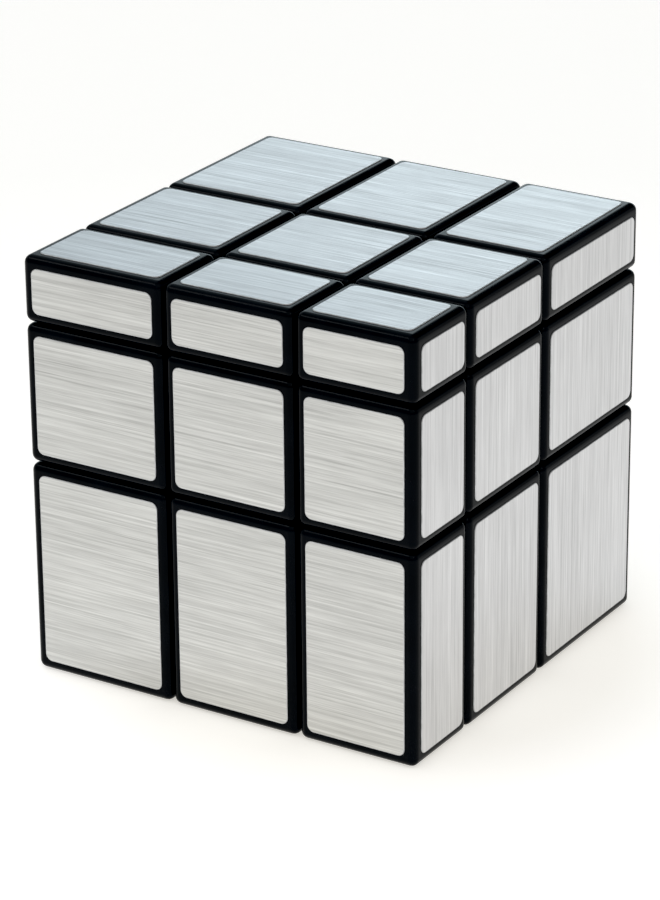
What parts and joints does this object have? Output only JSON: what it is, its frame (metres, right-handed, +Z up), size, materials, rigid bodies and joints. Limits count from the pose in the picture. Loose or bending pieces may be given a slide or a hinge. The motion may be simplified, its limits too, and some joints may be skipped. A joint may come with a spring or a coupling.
{
  "type": "mirror block cube",
  "caption": "Twisty puzzle cube in black plastic with brushed silver stickers; its layers differ in thickness, so turning any face changes its outline.",
  "frame": {"origin": "middle of the underside of the solved cube", "axes": "+Z up through the thinnest layer, -Y out of the front face, +X out of the right face; the mechanism's centre is at (2, -6, 38.5) mm"},
  "size_m": [0.057, 0.057, 0.057],
  "materials": {
    "black_plastic": "moulded ABS, satin gloss, near black",
    "core_plastic": "moulded nylon, near black",
    "zinc_steel": "zinc plated",
    "spring_steel": "bright spring wire",
    "silver_sticker": "metallised film, hairline brushed"
  },
  "bodies": {
    "core": {"core": "core_plastic", "screw_top": "zinc_steel", "washer_top": "zinc_steel", "spring_top": "spring_steel", "screw_bottom": "zinc_steel", "washer_bottom": "zinc_steel", "spring_bottom": "spring_steel", "screw_front": "zinc_steel", "washer_front": "zinc_steel", "spring_front": "spring_steel", "screw_back": "zinc_steel", "washer_back": "zinc_steel", "spring_back": "spring_steel", "screw_right": "zinc_steel", "washer_right": "zinc_steel", "spring_right": "spring_steel", "screw_left": "zinc_steel", "washer_left": "zinc_steel", "spring_left": "spring_steel"},
    "centre_top": {"centre_base_top": "black_plastic", "centre_cap_top": "black_plastic"},
    "centre_bottom": {"centre_base_bottom": "black_plastic", "centre_cap_bottom": "black_plastic"},
    "centre_front": {"centre_base_front": "black_plastic", "centre_cap_front": "black_plastic"},
    "centre_back": {"centre_base_back": "black_plastic", "centre_cap_back": "black_plastic"},
    "centre_right": {"centre_base_right": "black_plastic", "centre_cap_right": "black_plastic"},
    "centre_left": {"centre_base_left": "black_plastic", "centre_cap_left": "black_plastic"},
    "edge_top_front": {"edge_top_front": "black_plastic"},
    "edge_top_back": {"edge_top_back": "black_plastic"},
    "edge_top_right": {"edge_top_right": "black_plastic"},
    "edge_top_left": {"edge_top_left": "black_plastic"},
    "edge_bottom_front": {"edge_bottom_front": "black_plastic"},
    "edge_bottom_back": {"edge_bottom_back": "black_plastic"},
    "edge_bottom_right": {"edge_bottom_right": "black_plastic"},
    "edge_bottom_left": {"edge_bottom_left": "black_plastic"},
    "edge_front_right": {"edge_front_right": "black_plastic"},
    "edge_front_left": {"edge_front_left": "black_plastic"},
    "edge_back_right": {"edge_back_right": "black_plastic"},
    "edge_back_left": {"edge_back_left": "black_plastic"},
    "corner_top_front_right": {"corner_shell_top_front_right": "black_plastic", "corner_foot_top_front_right": "black_plastic"},
    "corner_top_front_left": {"corner_shell_top_front_left": "black_plastic", "corner_foot_top_front_left": "black_plastic"},
    "corner_top_back_right": {"corner_shell_top_back_right": "black_plastic", "corner_foot_top_back_right": "black_plastic"},
    "corner_top_back_left": {"corner_shell_top_back_left": "black_plastic", "corner_foot_top_back_left": "black_plastic"},
    "corner_bottom_front_right": {"corner_shell_bottom_front_right": "black_plastic", "corner_foot_bottom_front_right": "black_plastic"},
    "corner_bottom_front_left": {"corner_shell_bottom_front_left": "black_plastic", "corner_foot_bottom_front_left": "black_plastic"},
    "corner_bottom_back_right": {"corner_shell_bottom_back_right": "black_plastic", "corner_foot_bottom_back_right": "black_plastic"},
    "corner_bottom_back_left": {"corner_shell_bottom_back_left": "black_plastic", "corner_foot_bottom_back_left": "black_plastic"}
  },
  "joints": [
    {"name": "turn_top", "type": "hinge", "parent": "core", "child": "centre_top", "pos_m": [0.002, -0.006, 0.0385], "axis": [0, 0, 1], "continuous": true},
    {"name": "turn_bottom", "type": "hinge", "parent": "core", "child": "centre_bottom", "pos_m": [0.002, -0.006, 0.0385], "axis": [0, 0, -1], "continuous": true},
    {"name": "turn_front", "type": "hinge", "parent": "core", "child": "centre_front", "pos_m": [0.002, -0.006, 0.0385], "axis": [0, -1, 0], "continuous": true},
    {"name": "turn_back", "type": "hinge", "parent": "core", "child": "centre_back", "pos_m": [0.002, -0.006, 0.0385], "axis": [0, 1, 0], "continuous": true},
    {"name": "turn_right", "type": "hinge", "parent": "core", "child": "centre_right", "pos_m": [0.002, -0.006, 0.0385], "axis": [1, 0, 0], "continuous": true},
    {"name": "turn_left", "type": "hinge", "parent": "core", "child": "centre_left", "pos_m": [0.002, -0.006, 0.0385], "axis": [-1, 0, 0], "continuous": true},
    {"name": "edge_top_front_turn_front", "type": "hinge", "parent": "centre_top", "child": "edge_top_front", "pos_m": [0.002, -0.006, 0.0385], "axis": [0, -1, 0], "continuous": true},
    {"name": "edge_top_back_turn_back", "type": "hinge", "parent": "centre_top", "child": "edge_top_back", "pos_m": [0.002, -0.006, 0.0385], "axis": [0, 1, 0], "continuous": true},
    {"name": "edge_top_right_turn_right", "type": "hinge", "parent": "centre_top", "child": "edge_top_right", "pos_m": [0.002, -0.006, 0.0385], "axis": [1, 0, 0], "continuous": true},
    {"name": "edge_top_left_turn_left", "type": "hinge", "parent": "centre_top", "child": "edge_top_left", "pos_m": [0.002, -0.006, 0.0385], "axis": [-1, 0, 0], "continuous": true},
    {"name": "edge_bottom_front_turn_bottom", "type": "hinge", "parent": "centre_front", "child": "edge_bottom_front", "pos_m": [0.002, -0.006, 0.0385], "axis": [0, 0, -1], "continuous": true},
    {"name": "edge_bottom_back_turn_bottom", "type": "hinge", "parent": "centre_back", "child": "edge_bottom_back", "pos_m": [0.002, -0.006, 0.0385], "axis": [0, 0, -1], "continuous": true},
    {"name": "edge_bottom_right_turn_bottom", "type": "hinge", "parent": "centre_right", "child": "edge_bottom_right", "pos_m": [0.002, -0.006, 0.0385], "axis": [0, 0, -1], "continuous": true},
    {"name": "edge_bottom_left_turn_bottom", "type": "hinge", "parent": "centre_left", "child": "edge_bottom_left", "pos_m": [0.002, -0.006, 0.0385], "axis": [0, 0, -1], "continuous": true},
    {"name": "edge_front_right_turn_right", "type": "hinge", "parent": "centre_front", "child": "edge_front_right", "pos_m": [0.002, -0.006, 0.0385], "axis": [1, 0, 0], "continuous": true},
    {"name": "edge_front_left_turn_front", "type": "hinge", "parent": "centre_left", "child": "edge_front_left", "pos_m": [0.002, -0.006, 0.0385], "axis": [0, -1, 0], "continuous": true},
    {"name": "edge_back_right_turn_back", "type": "hinge", "parent": "centre_right", "child": "edge_back_right", "pos_m": [0.002, -0.006, 0.0385], "axis": [0, 1, 0], "continuous": true},
    {"name": "edge_back_left_turn_left", "type": "hinge", "parent": "centre_back", "child": "edge_back_left", "pos_m": [0.002, -0.006, 0.0385], "axis": [-1, 0, 0], "continuous": true},
    {"name": "corner_top_front_right_turn_right", "type": "hinge", "parent": "edge_top_front", "child": "corner_top_front_right", "pos_m": [0.002, -0.006, 0.0385], "axis": [1, 0, 0], "continuous": true},
    {"name": "corner_top_front_left_turn_left", "type": "hinge", "parent": "edge_top_front", "child": "corner_top_front_left", "pos_m": [0.002, -0.006, 0.0385], "axis": [-1, 0, 0], "continuous": true},
    {"name": "corner_top_back_right_turn_right", "type": "hinge", "parent": "edge_top_back", "child": "corner_top_back_right", "pos_m": [0.002, -0.006, 0.0385], "axis": [1, 0, 0], "continuous": true},
    {"name": "corner_top_back_left_turn_left", "type": "hinge", "parent": "edge_top_back", "child": "corner_top_back_left", "pos_m": [0.002, -0.006, 0.0385], "axis": [-1, 0, 0], "continuous": true},
    {"name": "corner_bottom_front_right_turn_right", "type": "hinge", "parent": "edge_bottom_front", "child": "corner_bottom_front_right", "pos_m": [0.002, -0.006, 0.0385], "axis": [1, 0, 0], "continuous": true},
    {"name": "corner_bottom_front_left_turn_left", "type": "hinge", "parent": "edge_bottom_front", "child": "corner_bottom_front_left", "pos_m": [0.002, -0.006, 0.0385], "axis": [-1, 0, 0], "continuous": true},
    {"name": "corner_bottom_back_right_turn_right", "type": "hinge", "parent": "edge_bottom_back", "child": "corner_bottom_back_right", "pos_m": [0.002, -0.006, 0.0385], "axis": [1, 0, 0], "continuous": true},
    {"name": "corner_bottom_back_left_turn_left", "type": "hinge", "parent": "edge_bottom_back", "child": "corner_bottom_back_left", "pos_m": [0.002, -0.006, 0.0385], "axis": [-1, 0, 0], "continuous": true}
  ],
  "couplings": [
    {"joint": "edge_top_front_turn_front", "follows": "turn_front", "ratio": 1},
    {"joint": "edge_top_back_turn_back", "follows": "turn_back", "ratio": 1},
    {"joint": "edge_top_right_turn_right", "follows": "turn_right", "ratio": 1},
    {"joint": "edge_top_left_turn_left", "follows": "turn_left", "ratio": 1},
    {"joint": "edge_bottom_front_turn_bottom", "follows": "turn_bottom", "ratio": 1},
    {"joint": "edge_bottom_back_turn_bottom", "follows": "turn_bottom", "ratio": 1},
    {"joint": "edge_bottom_right_turn_bottom", "follows": "turn_bottom", "ratio": 1},
    {"joint": "edge_bottom_left_turn_bottom", "follows": "turn_bottom", "ratio": 1},
    {"joint": "edge_front_right_turn_right", "follows": "turn_right", "ratio": 1},
    {"joint": "edge_front_left_turn_front", "follows": "turn_front", "ratio": 1},
    {"joint": "edge_back_right_turn_back", "follows": "turn_back", "ratio": 1},
    {"joint": "edge_back_left_turn_left", "follows": "turn_left", "ratio": 1},
    {"joint": "corner_top_front_right_turn_right", "follows": "turn_right", "ratio": 1},
    {"joint": "corner_top_front_left_turn_left", "follows": "turn_left", "ratio": 1},
    {"joint": "corner_top_back_right_turn_right", "follows": "turn_right", "ratio": 1},
    {"joint": "corner_top_back_left_turn_left", "follows": "turn_left", "ratio": 1},
    {"joint": "corner_bottom_front_right_turn_right", "follows": "turn_right", "ratio": 1},
    {"joint": "corner_bottom_front_left_turn_left", "follows": "turn_left", "ratio": 1},
    {"joint": "corner_bottom_back_right_turn_right", "follows": "turn_right", "ratio": 1},
    {"joint": "corner_bottom_back_left_turn_left", "follows": "turn_left", "ratio": 1}
  ]
}
